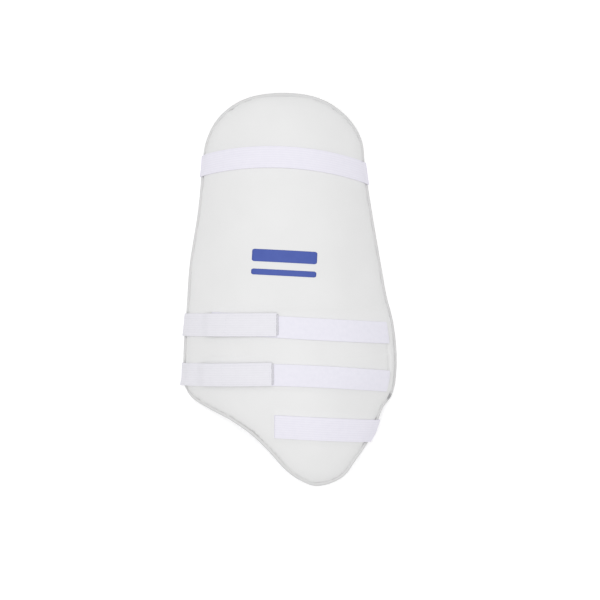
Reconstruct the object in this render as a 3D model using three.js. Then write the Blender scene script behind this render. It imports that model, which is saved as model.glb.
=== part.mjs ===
// A cricket thigh guard: a curved foam pad with a piped edge and the elastic bands that hold it.
// Millimetres. The guard lies on its two long edges with the padded face up: X runs across it,
// Y from the narrow tongue (-) to the round end (+), Z up out of the face.
import * as THREE from "three";

// The pad, measured along its seam
const padLength = 394;
const padWidth = 214;
const foamThickness = 20;
const flankThickness = 13;
const edgeRoll = 12;
const foamRise = 55;
const flankAngle = THREE.MathUtils.degToRad(50);
const roundEndDroop = 9;
const tongueDroop = 14;

// The piping in the seam
const pipingDiameter = 4.6;
const pipingSides = 8;

// The bands
const bandThickness = 1.4;
const hookThickness = 1;
const topStrapWidth = 22;
const strapWidth = 23.5;
const loopStripWidth = 22;
const hookPatchWidth = 21;
const bottomStrapWidth = 23.5;
const tapeInset = 5;
const stepLength = 12;
const hookPatchLength = 56;
const loopUnderTab = 66;

// The gap between pieces that touch, and between the hollow side's flats and the band sewn there
const clearance = 0.3;
const sewnGap = 0.7;

// How finely the surfaces are cut
const rowSpacing = 9.5;
const stationStep = 0.1;
const slopeStep = 0.5;
const columns = 14;
const outlineSteps = 14;
const sectionPoints = 240;
const pipingSectionPoints = 48;
const bandShares = [-0.5, -0.25, 0, 0.25, 0.5];
const frontStep = THREE.MathUtils.degToRad(4);
const wrapStep = THREE.MathUtils.degToRad(20);
const faceTurn = THREE.MathUtils.degToRad(78);

// The seam's outline from the tip of the tongue up the left side and down the right side:
// across as a share of half the width, along as a share of half the length.
const seamOutline = [
  { across: 0.265, along: -1 },
  { across: 0.135, along: -0.975 },
  { across: 0.005, along: -0.925 },
  { across: -0.182, along: -0.813 },
  { across: -0.335, along: -0.735 },
  { across: -0.56, along: -0.655 },
  { across: -0.775, along: -0.6 },
  { across: -0.925, along: -0.555 },
  { across: -0.995, along: -0.505 },
  { across: -1.005, along: -0.4 },
  { across: -0.995, along: -0.25 },
  { across: -0.972, along: -0.1 },
  { across: -0.945, along: 0.12 },
  { across: -0.86, along: 0.42 },
  { across: -0.822, along: 0.63 },
  { across: -0.785, along: 0.775 },
  { across: -0.66, along: 0.89 },
  { across: -0.42, along: 0.974 },
  { across: -0.04, along: 1 },
  { across: 0.3, along: 0.972 },
  { across: 0.54, along: 0.887 },
  { across: 0.668, along: 0.785 },
  { across: 0.702, along: 0.65 },
  { across: 0.766, along: 0.42 },
  { across: 0.86, along: 0.12 },
  { across: 0.913, along: -0.04 },
  { across: 0.978, along: -0.18 },
  { across: 1.01, along: -0.36 },
  { across: 0.995, along: -0.5 },
  { across: 0.968, along: -0.545 },
  { across: 0.875, along: -0.61 },
  { across: 0.842, along: -0.65 },
  { across: 0.775, along: -0.745 },
  { across: 0.61, along: -0.875 },
  { across: 0.475, along: -0.966 },
];

// The long edges lie on the surface between these two shares of half the length.
const restingEdge = { from: -0.525, to: 0.735 };

// Where each band's centre line crosses the left and the right edge of the pad, and how far its
// middle bows up between them, as shares of half the length.
const bandLines = {
  top: { left: 0.657, right: 0.62, bow: 0.04 },
  upperLoop: { left: -0.166, right: -0.23, bow: 0 },
  upperTab: { left: -0.187, right: -0.176, bow: 0 },
  upperBack: { left: -0.187, right: -0.23, bow: 0 },
  lowerLoop: { left: -0.451, right: -0.486, bow: 0.027 },
  lowerTab: { left: -0.448, right: -0.417, bow: 0 },
  lowerBack: { left: -0.448, right: -0.486, bow: 0 },
  bottom: { left: -0.7, right: -0.74, bow: 0.005 },
};

// Where the bands end across the face, as shares of half the width.
const upperTabEnd = -0.115;
const lowerTabEnd = -0.158;
const bottomFrontEnd = -0.135;
const bottomBackEnd = { from: -0.12, to: -0.3 };

const halfLength = padLength / 2;
const halfWidth = padWidth / 2;
const pipingRadius = pipingDiameter / 2;
const pipingOffset = pipingRadius + clearance;
const edgeHeight =
  bandThickness + clearance + pipingRadius + pipingOffset * Math.sin(flankAngle);

// The outline as a smooth closed curve, split at its two tips into a left and a right side
const outlineCurve = new THREE.CatmullRomCurve3(
  seamOutline.map((p) => new THREE.Vector3(p.across * halfWidth, p.along * halfLength, 0)),
  true,
  "centripetal",
);
const outlinePoints = outlineCurve.getPoints(seamOutline.length * outlineSteps).slice(0, -1);
const tongueTip = outlinePoints.reduce((a, b) => (b.y < a.y ? b : a));
const roundTip = outlinePoints.reduce((a, b) => (b.y > a.y ? b : a));

function sideBetween(from, to) {
  const start = outlinePoints.indexOf(from);
  const turned = [...outlinePoints.slice(start), ...outlinePoints.slice(0, start)];
  return turned.slice(0, turned.indexOf(to) + 1);
}

const sides = {
  left: sideBetween(tongueTip, roundTip),
  right: sideBetween(roundTip, tongueTip).reverse(),
};

// The outline's X on one side at a given Y
function edgeX(side, y) {
  const points = sides[side];
  const next = Math.max(1, points.findIndex((p) => p.y >= y));
  const a = points[next - 1];
  const b = points[next];
  const share = THREE.MathUtils.clamp((y - a.y) / (b.y - a.y || 1), 0, 1);
  return THREE.MathUtils.lerp(a.x, b.x, share);
}

// The shortest distance in plan from a point to the seam
function seamDistance(x, y) {
  const point = new THREE.Vector3(x, y, 0);
  const nearest = new THREE.Vector3();
  const segment = new THREE.Line3();
  let least = Infinity;
  outlinePoints.forEach((start, i) => {
    segment.set(start, outlinePoints[(i + 1) % outlinePoints.length]);
    segment.closestPointToPoint(point, true, nearest);
    least = Math.min(least, nearest.distanceTo(point));
  });
  return least;
}

// The height of the pad's middle surface: an arch whose long edges rest at the same height,
// drooping a little towards the round end and towards the tongue's tip
function middleHeight(x, y) {
  const lowest = restingEdge.from * halfLength;
  const highest = restingEdge.to * halfLength;
  const restingY = THREE.MathUtils.clamp(y, lowest, highest);
  const left = edgeX("left", restingY);
  const right = edgeX("right", restingY);
  const archRadius = (right - left) / 2 / Math.sin(flankAngle);
  const fromCrown = Math.min(Math.abs(x - (left + right) / 2), archRadius * 0.98);
  const rise = Math.sqrt(archRadius ** 2 - fromCrown ** 2) - archRadius * Math.cos(flankAngle);
  const pastRound = Math.max(0, (y - highest) / (halfLength - highest));
  const pastTongue = Math.max(0, (lowest - y) / (halfLength + lowest));
  return edgeHeight + rise - roundEndDroop * pastRound ** 2 - tongueDroop * pastTongue ** 2;
}

function middleNormal(x, y) {
  const riseX = middleHeight(x + slopeStep, y) - middleHeight(x - slopeStep, y);
  const riseY = middleHeight(x, y + slopeStep) - middleHeight(x, y - slopeStep);
  return new THREE.Vector3(-riseX, -riseY, 2 * slopeStep).normalize();
}

// Half the foam's thickness: rolled round at the seam, then rising slowly to the full thickness
function halfThickness(x, y) {
  const distance = seamDistance(x, y);
  const roll = Math.sqrt(1 - (1 - Math.min(distance / edgeRoll, 1)) ** 2);
  const swell = THREE.MathUtils.smoothstep(distance, 0, foamRise);
  return (flankThickness * roll + (foamThickness - flankThickness) * swell) / 2;
}

// A point on the pad's face (face 1) or on its hollow side (face -1)
function padPoint(x, y, face) {
  const point = new THREE.Vector3(x, y, middleHeight(x, y));
  return point.addScaledVector(middleNormal(x, y), face * halfThickness(x, y));
}

// Rows across the pad, one each time either edge has run on by the row spacing
function rowStations() {
  const stations = [];
  let run = 0;
  for (let y = tongueTip.y + stationStep; y < roundTip.y - stationStep; y += stationStep) {
    const turns = ["left", "right"].map((side) => edgeX(side, y) - edgeX(side, y - stationStep));
    run += Math.hypot(stationStep, Math.max(...turns.map(Math.abs)));
    if (run >= rowSpacing) {
      stations.push(y);
      run = 0;
    }
  }
  return stations;
}

const rows = rowStations();

// A closed solid through a list of rings of equal length. A ring of one point is a tip.
function loftedGeometry(rings, closed = false) {
  const positions = rings.flat().flatMap((p) => [p.x, p.y, p.z]);
  const starts = [];
  rings.reduce((count, ring) => {
    starts.push(count);
    return count + ring.length;
  }, 0);
  const index = [];
  const last = closed ? rings.length : rings.length - 1;
  for (let i = 0; i < last; i++) {
    const next = (i + 1) % rings.length;
    const sideCount = Math.max(rings[i].length, rings[next].length);
    for (let j = 0; j < sideCount; j++) {
      const k = (j + 1) % sideCount;
      const [a, b] = [j, k].map((n) => starts[i] + (n % rings[i].length));
      const [c, d] = [j, k].map((n) => starts[next] + (n % rings[next].length));
      if (rings[i].length > 1) index.push(a, b, c);
      if (rings[next].length > 1) index.push(b, d, c);
    }
  }
  if (!closed) {
    [0, rings.length - 1].forEach((end) => {
      for (let j = 1; j < rings[end].length - 1; j++) {
        const fan = [starts[end], starts[end] + j, starts[end] + j + 1];
        index.push(...(end ? fan : fan.reverse()));
      }
    });
  }
  const geometry = new THREE.BufferGeometry();
  geometry.setAttribute("position", new THREE.Float32BufferAttribute(positions, 3));
  geometry.setIndex(signedVolume(positions, index) < 0 ? index.reverse() : index);
  geometry.computeVertexNormals();
  return geometry;
}

function signedVolume(positions, index) {
  const corner = (n) => new THREE.Vector3().fromArray(positions, index[n] * 3);
  let volume = 0;
  for (let i = 0; i < index.length; i += 3) {
    volume += corner(i).dot(corner(i + 1).cross(corner(i + 2))) / 6;
  }
  return volume;
}

// The padded shell: each row is a ring over the face and back along the hollow side
function padGeometry() {
  const rowRing = (y) => {
    const left = edgeX("left", y);
    const right = edgeX("right", y);
    const ring = [];
    for (let j = 0; j < 2 * columns; j++) {
      const across = (1 - Math.cos((Math.PI * j) / columns)) / 2;
      const x = THREE.MathUtils.lerp(left, right, across);
      ring.push(padPoint(x, y, j % columns ? (j < columns ? 1 : -1) : 0));
    }
    return ring;
  };
  const tips = [tongueTip, roundTip].map((tip) => [padPoint(tip.x, tip.y, 0)]);
  return loftedGeometry([tips[0], ...rows.map(rowRing), tips[1]]);
}

// The seam at a point of the outline: its place, and the ways out of the pad and up
function seamFrame(before, at, after) {
  const place = ({ x, y }) => new THREE.Vector3(x, y, middleHeight(x, y));
  const along = place(after).sub(place(before)).normalize();
  const up = middleNormal(at.x, at.y);
  const out = up.clone().cross(along).normalize();
  return { place: place(at), out, up: along.clone().cross(out) };
}

function pipingGeometry() {
  const leftSide = rows.map((y) => new THREE.Vector3(edgeX("left", y), y, 0));
  const rightSide = rows.map((y) => new THREE.Vector3(edgeX("right", y), y, 0)).reverse();
  const stations = [tongueTip, ...leftSide, roundTip, ...rightSide];
  const rings = stations.map((at, i) => {
    const before = stations.at(i - 1);
    const after = stations[(i + 1) % stations.length];
    const { place, out, up } = seamFrame(before, at, after);
    const centre = place.addScaledVector(out, pipingOffset);
    const ring = [];
    for (let j = 0; j < pipingSides; j++) {
      const turn = (2 * Math.PI * j) / pipingSides;
      const rim = centre.clone().addScaledVector(out, pipingRadius * Math.cos(turn));
      ring.push(rim.addScaledVector(up, pipingRadius * Math.sin(turn)));
    }
    return ring;
  });
  return loftedGeometry(rings, true);
}

// A band's centre line as a function of X, between the pad's two edges
function centreLine({ left, right, bow }) {
  const from = edgeX("left", left * halfLength);
  const to = edgeX("right", right * halfLength);
  return (x) => {
    const share = (x - from) / (to - from);
    const middle = 4 * share * (1 - share) * bow;
    return (THREE.MathUtils.lerp(left, right, share) + middle) * halfLength;
  };
}

// Where a line over the pad meets the seam on one side
function lineEnd(side, yOf) {
  let x = edgeX(side, yOf(0));
  for (let i = 0; i < 8; i++) x = edgeX(side, yOf(x));
  return x;
}

// The piping's section where a line over the pad crosses it, stretched where it crosses aslant
function pipingSection(side, yOf) {
  const x = lineEnd(side, yOf);
  const outlineAt = (y) => new THREE.Vector3(edgeX(side, y), y, 0);
  const frameAt = (y) => {
    const [low, high] = [outlineAt(y - slopeStep), outlineAt(y + slopeStep)];
    return side === "left" ? seamFrame(low, outlineAt(y), high) : seamFrame(high, outlineAt(y), low);
  };
  const first = frameAt(yOf(x));
  const { place, out } = frameAt(yOf(x) - first.out.y * pipingOffset);
  const centre = place.addScaledVector(out, pipingOffset);
  const stretch = 1 / Math.abs(new THREE.Vector3(out.x, out.y, 0).normalize().x);
  const points = [];
  for (let j = 0; j < pipingSectionPoints; j++) {
    const turn = (2 * Math.PI * j) / pipingSectionPoints;
    const reach = pipingRadius * stretch * Math.cos(turn);
    points.push(centre.clone().add(new THREE.Vector3(reach, 0, pipingRadius * Math.sin(turn))));
  }
  return points;
}

// A taut line round the pad and its piping: for each direction square to the line, the point of
// the section that reaches furthest that way. A band that starts on the face has only what lies
// to the right of its start.
function tautSection(yOf, start = -Infinity) {
  const left = lineEnd("left", yOf);
  const right = lineEnd("right", yOf);
  const points = [...pipingSection("left", yOf), ...pipingSection("right", yOf)];
  for (let j = 0; j <= sectionPoints; j++) {
    const across = (1 - Math.cos((Math.PI * j) / sectionPoints)) / 2;
    const x = THREE.MathUtils.lerp(left, right, across);
    points.push(padPoint(x, yOf(x), 1));
  }
  const reached = points.filter((point) => point.x >= start);
  const reachOf = (point, way) => point.x * way.x + point.z * way.z;
  return (turn) => {
    const way = new THREE.Vector3(Math.cos(turn), 0, Math.sin(turn));
    const furthest = reached.reduce((a, b) => (reachOf(b, way) > reachOf(a, way) ? b : a));
    return { point: furthest, way };
  };
}

// The direction of the pad's face over a given X of a line
function turnAt(x, yOf) {
  const normal = middleNormal(x, yOf(x));
  return Math.atan2(normal.z, normal.x);
}

// Straight down behind the pad, turned a touch outward so that each side's edge is met
const downRight = THREE.MathUtils.degToRad(-89);
const downLeft = Math.PI - downRight;

// The directions at which a band is cut: small steps over the face, larger ones round the edges
function stepsBetween(from, to, step) {
  const count = Math.ceil((from - to) / step);
  return Array.from({ length: count }, (_, i) => THREE.MathUtils.lerp(from, to, i / count));
}

const bandTurns = [
  ...stepsBetween(downLeft, Math.PI / 2 + faceTurn, wrapStep),
  ...stepsBetween(Math.PI / 2 + faceTurn, Math.PI / 2 - faceTurn, frontStep),
  ...stepsBetween(Math.PI / 2 - faceTurn, downRight, wrapStep),
  downRight,
];

function turnsBetween(from, to) {
  const [high, low] = [Math.max(from, to), Math.min(from, to)];
  const least = frontStep / 4;
  const inner = bandTurns.filter((turn) => turn < high - least && turn > low + least);
  const turns = [high, ...inner, low];
  return from > to ? turns : turns.reverse();
}

// The lines along a band, from one edge to the other
function bandEdges(frontLine, width, { backLine = frontLine, start } = {}) {
  return bandShares.map((share) => {
    const yOf = (x) => frontLine(x) + share * width;
    const backY = (x) => backLine(x) + share * width;
    return { yOf, backY, section: tautSection(yOf, start) };
  });
}

const middleOf = (edges) => edges[(edges.length - 1) / 2];

// A ring of a band from the inner and outer points on its lines
const bandRing = (pairs) => [
  ...pairs.map((pair) => pair.inner),
  ...pairs.map((pair) => pair.outer).reverse(),
];

// A ring where the band turns with the pad, lifted off it by offset
function tautRing(edges, turn, offset, thickness = bandThickness) {
  return bandRing(
    edges.map(({ section }) => {
      const { point, way } = section(turn);
      const lift = offset(point.x);
      return {
        inner: point.clone().addScaledVector(way, lift),
        outer: point.clone().addScaledVector(way, lift + thickness),
      };
    }),
  );
}

// A ring where the band comes off an edge's piping to lie flat on what the guard rests on
function restingRing(edges, turn) {
  return bandRing(
    edges.map(({ section }) => {
      const { point } = section(turn);
      return {
        inner: point.clone().setZ(bandThickness),
        outer: point.clone().setZ(0),
      };
    }),
  );
}

// The ring where the band's end lies flat under the right edge's piping
function flatEnd(edges) {
  return bandRing(
    edges.map(({ backY }) => {
      const x = lineEnd("right", backY) + pipingOffset;
      return {
        inner: new THREE.Vector3(x, backY(x), bandThickness),
        outer: new THREE.Vector3(x, backY(x), 0),
      };
    }),
  );
}

// A ring where the band is sewn to the pad's hollow side
function innerRing(edges, x) {
  return bandRing(
    edges.map(({ yOf }) => {
      const point = padPoint(x, yOf(x), -1);
      const down = middleNormal(x, yOf(x)).negate();
      return {
        inner: point.clone().addScaledVector(down, sewnGap),
        outer: point.clone().addScaledVector(down, sewnGap + bandThickness),
      };
    }),
  );
}

const onPad = () => clearance;

// The band over the round end: a loop round the whole pad
function topStrapGeometry() {
  const edges = bandEdges(centreLine(bandLines.top), topStrapWidth);
  const taut = turnsBetween(downLeft, downRight).slice(1, -1);
  const rings = taut.map((turn) => tautRing(edges, turn, onPad));
  return loftedGeometry([restingRing(edges, downLeft), ...rings, restingRing(edges, downRight)], true);
}

// Loop tape on the face, from under the tab to just inside the right edge's seam
function loopStripGeometry(line, tabEnd) {
  const start = tabEnd * halfWidth - loopUnderTab;
  const edges = bandEdges(centreLine(line), loopStripWidth, { start });
  const insideSeam = (turn) =>
    edges.every(({ yOf, section }) => section(turn).point.x <= lineEnd("right", yOf) - tapeInset);
  const turns = turnsBetween(turnAt(start, middleOf(edges).yOf), downRight).filter(insideSeam);
  return loftedGeometry(turns.map((turn) => tautRing(edges, turn, onPad)));
}

// How high a tab lies over the pad: on the pad at the edge, then over the loop and hook tapes
function tabLift(tabEnd) {
  const loopStart = tabEnd * halfWidth - loopUnderTab;
  const full = 3 * clearance + bandThickness + hookThickness;
  return (x) => {
    const climb = THREE.MathUtils.smoothstep(x, loopStart - stepLength, loopStart - clearance);
    return THREE.MathUtils.lerp(clearance, full, climb);
  };
}

// Elastic strap from under the right edge, behind the pad, round the left edge to its tab
function strapGeometry(tabLine, backLine, tabEnd) {
  const edges = bandEdges(centreLine(tabLine), strapWidth, { backLine: centreLine(backLine) });
  const behind = [flatEnd(edges), restingRing(edges, downLeft)];
  const end = turnAt(tabEnd * halfWidth, middleOf(edges).yOf);
  const lift = tabLift(tabEnd);
  const taut = turnsBetween(downLeft, end).slice(1);
  return loftedGeometry([...behind, ...taut.map((turn) => tautRing(edges, turn, lift))]);
}

// Hook tape under the tab
function hookPatchGeometry(tabLine, tabEnd) {
  const edges = bandEdges(centreLine(tabLine), hookPatchWidth);
  const offset = () => 2 * clearance + bandThickness;
  const start = turnAt(tabEnd * halfWidth - hookPatchLength, middleOf(edges).yOf);
  const end = turnAt(tabEnd * halfWidth - clearance, middleOf(edges).yOf);
  const rings = turnsBetween(start, end).map((turn) =>
    tautRing(edges, turn, offset, hookThickness),
  );
  return loftedGeometry(rings);
}

// The tongue's band: over its face, round its right edge and straight across to its hollow side
function bottomStrapGeometry() {
  const start = bottomFrontEnd * halfWidth;
  const edges = bandEdges(centreLine(bandLines.bottom), bottomStrapWidth, { start });
  const seat = padPoint(bottomBackEnd.from * halfWidth, middleOf(edges).yOf(start), -1);
  const corner = middleOf(edges).section(downRight).point;
  const slope = Math.atan2(seat.z - corner.z, corner.x - seat.x);
  const turns = turnsBetween(turnAt(start, middleOf(edges).yOf), downRight - slope);
  const rings = turns.map((turn) => tautRing(edges, turn, onPad));
  const sewn = [0, 0.25, 0.5, 0.75, 1].map((share) => {
    const across = THREE.MathUtils.lerp(bottomBackEnd.from, bottomBackEnd.to, share);
    return innerRing(edges, across * halfWidth);
  });
  return loftedGeometry([...rings, ...sewn]);
}

const coverCloth = { color: 0xececec, roughness: 0.62, metalness: 0 };
const pipingCloth = { color: 0xe4e4e6, roughness: 0.55, metalness: 0 };
const elastic = { color: 0xebe9f2, roughness: 0.8, metalness: 0 };
const loopTape = { color: 0xeeecf8, roughness: 0.95, metalness: 0 };
const hookTape = { color: 0xdedce6, roughness: 0.5, metalness: 0 };

function piece(name, geometry, finish) {
  const mesh = new THREE.Mesh(geometry, new THREE.MeshStandardMaterial(finish));
  mesh.name = name;
  return mesh;
}

const { upperTab, upperBack, upperLoop, lowerTab, lowerBack, lowerLoop } = bandLines;
const pieces = [
  piece("thigh_pad", padGeometry(), coverCloth),
  piece("edge_piping", pipingGeometry(), pipingCloth),
  piece("top_strap", topStrapGeometry(), elastic),
  piece("upper_loop_strip", loopStripGeometry(upperLoop, upperTabEnd), loopTape),
  piece("upper_strap", strapGeometry(upperTab, upperBack, upperTabEnd), elastic),
  piece("upper_hook_patch", hookPatchGeometry(upperTab, upperTabEnd), hookTape),
  piece("lower_loop_strip", loopStripGeometry(lowerLoop, lowerTabEnd), loopTape),
  piece("lower_strap", strapGeometry(lowerTab, lowerBack, lowerTabEnd), elastic),
  piece("lower_hook_patch", hookPatchGeometry(lowerTab, lowerTabEnd), hookTape),
  piece("bottom_strap", bottomStrapGeometry(), elastic),
];

// The origin is under the middle of the guard, on the surface that it lies on.
const thighGuard = new THREE.Group();
thighGuard.add(...pieces);
const extent = new THREE.Box3().setFromObject(thighGuard);
const middle = extent.getCenter(new THREE.Vector3());
thighGuard.position.set(-middle.x, -middle.y, -extent.min.z);

export default thighGuard;
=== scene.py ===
"""The looks of a cricket thigh guard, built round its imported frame.

Metres. The guard lies on its two long edges with the padded face up: X runs across it, Y from the
narrow tongue (-) to the round end (+), Z up out of the face.
"""

import logging
import math
from collections.abc import Callable
from dataclasses import dataclass, field
from enum import Enum
from functools import cached_property
from typing import Any, NamedTuple

import bmesh
import bpy
import numpy as np
from mathutils import Matrix, Vector, noise
from mathutils.bvhtree import BVHTree
from mathutils.kdtree import KDTree
from numpy.typing import NDArray


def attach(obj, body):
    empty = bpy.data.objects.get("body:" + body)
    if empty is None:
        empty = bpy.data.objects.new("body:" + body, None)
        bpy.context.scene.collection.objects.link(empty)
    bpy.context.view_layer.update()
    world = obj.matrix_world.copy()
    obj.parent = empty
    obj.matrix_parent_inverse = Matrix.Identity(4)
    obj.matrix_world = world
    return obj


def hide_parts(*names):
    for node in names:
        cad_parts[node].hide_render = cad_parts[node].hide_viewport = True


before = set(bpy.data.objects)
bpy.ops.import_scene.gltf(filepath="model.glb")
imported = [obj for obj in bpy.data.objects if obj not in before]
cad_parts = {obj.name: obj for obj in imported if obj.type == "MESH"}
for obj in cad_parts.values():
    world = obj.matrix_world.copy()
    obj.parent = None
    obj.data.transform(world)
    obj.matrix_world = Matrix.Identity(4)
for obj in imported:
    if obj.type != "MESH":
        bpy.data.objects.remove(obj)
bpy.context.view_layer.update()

log = logging.getLogger("thigh_guard")

Array = NDArray[np.float64]
Line = Callable[[Any], Any]
BMesh = bmesh.types.BMesh
Node = bpy.types.Node
Piece = bpy.types.Object
Tree = bpy.types.NodeTree

MM = 0.001
# Keeps a division by a length of 0 away
TINY = 1e-12
BODY = "root"


class Side(Enum):
    """The two long edges of the guard."""

    LEFT = "left"
    RIGHT = "right"


class Face(Enum):
    """The two faces of the pad: outwards, and towards the leg."""

    FRONT = 1
    HOLLOW = -1


class Slot(Enum):
    """The record's material slots."""

    COVER = "cover"
    PIPING = "piping"
    ELASTIC = "elastic"
    LOOP_TAPE = "loop_tape"
    HOOK_TAPE = "hook_tape"


# The geometry of the guard


class Drift(Enum):
    """The seeds that set one smooth unevenness apart from the next."""

    PUCKERS = 4.2
    LINING_FOLD_WAY = 9.1
    LINING_FOLD_DEPTH = 2.7
    SWELL = 7.3
    CORD = 1.3
    PILE = 5.5


class SeamPoint(NamedTuple):
    """A point of the seam: shares of half the pad's width and of half its length."""

    across: float
    along: float


# From the tip of the tongue up the left side and down the right side
SEAM_OUTLINE = tuple(
    SeamPoint(*shares)
    for shares in (
        (0.265, -1), (0.135, -0.975), (0.005, -0.925), (-0.182, -0.813), (-0.335, -0.735),
        (-0.56, -0.655), (-0.775, -0.6), (-0.925, -0.555), (-0.995, -0.505), (-1.005, -0.4),
        (-0.995, -0.25), (-0.972, -0.1), (-0.945, 0.12), (-0.86, 0.42), (-0.822, 0.63),
        (-0.785, 0.775), (-0.66, 0.89), (-0.42, 0.974), (-0.04, 1), (0.3, 0.972),
        (0.54, 0.887), (0.668, 0.785), (0.702, 0.65), (0.766, 0.42), (0.86, 0.12),
        (0.913, -0.04), (0.978, -0.18), (1.01, -0.36), (0.995, -0.5), (0.968, -0.545),
        (0.875, -0.61), (0.842, -0.65), (0.775, -0.745), (0.61, -0.875), (0.475, -0.966),
    )
)


class BandLine(NamedTuple):
    """Where a band's centre line crosses the left and the right edge, and how far it bows up
    between them, as shares of half the pad's length."""

    left: float
    right: float
    bow: float = 0.0


class RowLines(NamedTuple):
    """The centre lines of one row: its loop tape, its tab, and its strap behind the pad."""

    tape: BandLine
    tab: BandLine
    back: BandLine


def smoothstep(value: Array, low: float, high: float) -> Array:
    """A smooth climb from 0 at low to 1 at high."""
    share = np.clip((value - low) / (high - low), 0, 1)
    return share * share * (3 - 2 * share)


def unit(vectors: Array) -> Array:
    """The vectors, each scaled to length 1."""
    return vectors / np.maximum(np.linalg.norm(vectors, axis=-1, keepdims=True), TINY)


def spaced(path: Array, count: int) -> Array:
    """Points at even steps along a path.

    Args:
        path: Points in order, one a row.
        count: How many points to give.

    Returns:
        The new points, the first and last as they were.
    """
    steps = np.linalg.norm(np.diff(path, axis=0), axis=1)
    run = np.concatenate([[0], np.cumsum(steps)])
    wanted = np.linspace(0, run[-1], count)
    return np.stack([np.interp(wanted, run, column) for column in path.T], axis=1)


def path_length(path: Array) -> float:
    """The length of a path given as points in order."""
    return float(np.linalg.norm(np.diff(path, axis=0), axis=1).sum())


@dataclass(frozen=True)
class GuardForm:
    """The arched middle surface of the pad, the foam's thickness over it and the seam round it."""

    pad_length: float = 394 * MM
    pad_width: float = 214 * MM
    foam_thickness: float = 20 * MM
    flank_thickness: float = 13 * MM
    edge_roll: float = 12 * MM
    foam_rise: float = 55 * MM
    flank_angle: float = math.radians(50)
    round_end_droop: float = 9 * MM
    tongue_droop: float = 14 * MM
    resting_from: float = -0.525
    resting_to: float = 0.735
    piping_radius: float = 2.3 * MM
    band_thickness: float = 1.4 * MM
    clearance: float = 0.3 * MM
    slope_step: float = 0.5 * MM
    # The arch is held inside its own radius, where it would turn upright
    arch_share: float = 0.98
    outline_steps: int = 18
    section_points: int = 420
    batch: int = 4096
    crossing_rounds: int = 8

    @property
    def piping_offset(self) -> float:
        """How far the piping's middle lies outside the seam."""
        return self.piping_radius + self.clearance

    @property
    def edge_height(self) -> float:
        """The height of the seam along the two long edges."""
        stand = self.band_thickness + self.clearance + self.piping_radius
        return stand + self.piping_offset * math.sin(self.flank_angle)

    @cached_property
    def outline(self) -> Array:
        """The seam in plan from the tongue's tip round, a smooth closed curve, as rows of x, y."""
        here = np.array(SEAM_OUTLINE) * (self.pad_width / 2, self.pad_length / 2)
        before, after, later = (np.roll(here, turn, axis=0) for turn in (1, -1, -2))
        pairs = ((before, here), (here, after), (after, later))
        first, gap, last = (np.linalg.norm(b - a, axis=1)[:, None] ** 0.5 for a, b in pairs)
        leave = (here - before) / first - (after - before) / (first + gap) + (after - here) / gap
        reach = (after - here) / gap - (later - here) / (gap + last) + (later - after) / last
        leave, reach = leave * gap, reach * gap
        bend = -3 * here + 3 * after - 2 * leave - reach
        twist = 2 * here - 2 * after + leave + reach
        share = np.linspace(0, 1, self.outline_steps, endpoint=False)[:, None, None]
        curve = here + leave * share + bend * share**2 + twist * share**3
        points = curve.transpose(1, 0, 2).reshape(-1, 2)
        return np.roll(points, -int(points[:, 1].argmin()), axis=0)

    @cached_property
    def sides(self) -> dict[Side, Array]:
        """The outline's two sides, each from the tongue's tip up to the round end."""
        top = int(self.outline[:, 1].argmax())
        right = np.vstack([self.outline[top:], self.outline[:1]])[::-1]
        return {Side.LEFT: self.outline[: top + 1], Side.RIGHT: right}

    @property
    def tongue_tip(self) -> Array:
        """The lowest point of the outline in plan."""
        return self.outline[0]

    @property
    def round_tip(self) -> Array:
        """The highest point of the outline in plan."""
        return self.sides[Side.LEFT][-1]

    def edge_x(self, side: Side, y: Any) -> Any:
        """The outline's x on one side at a given y."""
        points = self.sides[side]
        return np.interp(y, points[:, 1], points[:, 0])

    def seam_distance(self, x: Array, y: Array) -> Array:
        """The shortest distance in plan from points to the seam.

        Args:
            x: The points' x.
            y: The points' y.

        Returns:
            The distances, in the shape of x.
        """
        start = self.outline
        way = np.roll(start, -1, axis=0) - start
        square = (way**2).sum(axis=1)
        flat_x, flat_y = np.ravel(x), np.ravel(y)
        least = np.empty(len(flat_x))
        for first in range(0, len(flat_x), self.batch):
            part = slice(first, first + self.batch)
            from_x = flat_x[part, None] - start[:, 0]
            from_y = flat_y[part, None] - start[:, 1]
            share = np.clip((from_x * way[:, 0] + from_y * way[:, 1]) / square, 0, 1)
            gap_x, gap_y = from_x - share * way[:, 0], from_y - share * way[:, 1]
            least[part] = np.sqrt((gap_x**2 + gap_y**2).min(axis=1))
        return least.reshape(np.shape(x))

    def middle_height(self, x: Any, y: Any) -> Any:
        """The height of the middle surface: an arch that droops a little towards both tips."""
        half_length = self.pad_length / 2
        lowest, highest = self.resting_from * half_length, self.resting_to * half_length
        resting_y = np.clip(y, lowest, highest)
        left, right = self.edge_x(Side.LEFT, resting_y), self.edge_x(Side.RIGHT, resting_y)
        radius = (right - left) / 2 / math.sin(self.flank_angle)
        from_crown = np.minimum(np.abs(x - (left + right) / 2), radius * self.arch_share)
        rise = np.sqrt(radius**2 - from_crown**2) - radius * math.cos(self.flank_angle)
        past_round = np.maximum(0, (y - highest) / (half_length - highest))
        past_tongue = np.maximum(0, (lowest - y) / (half_length + lowest))
        droop = self.round_end_droop * past_round**2 + self.tongue_droop * past_tongue**2
        return self.edge_height + rise - droop

    def middle_normal(self, x: Array, y: Array) -> Array:
        """The middle surface's normals, one a row."""
        step = self.slope_step
        rise_x = self.middle_height(x + step, y) - self.middle_height(x - step, y)
        rise_y = self.middle_height(x, y + step) - self.middle_height(x, y - step)
        return unit(np.stack([-rise_x, -rise_y, np.full_like(rise_x, 2 * step)], axis=-1))

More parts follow.
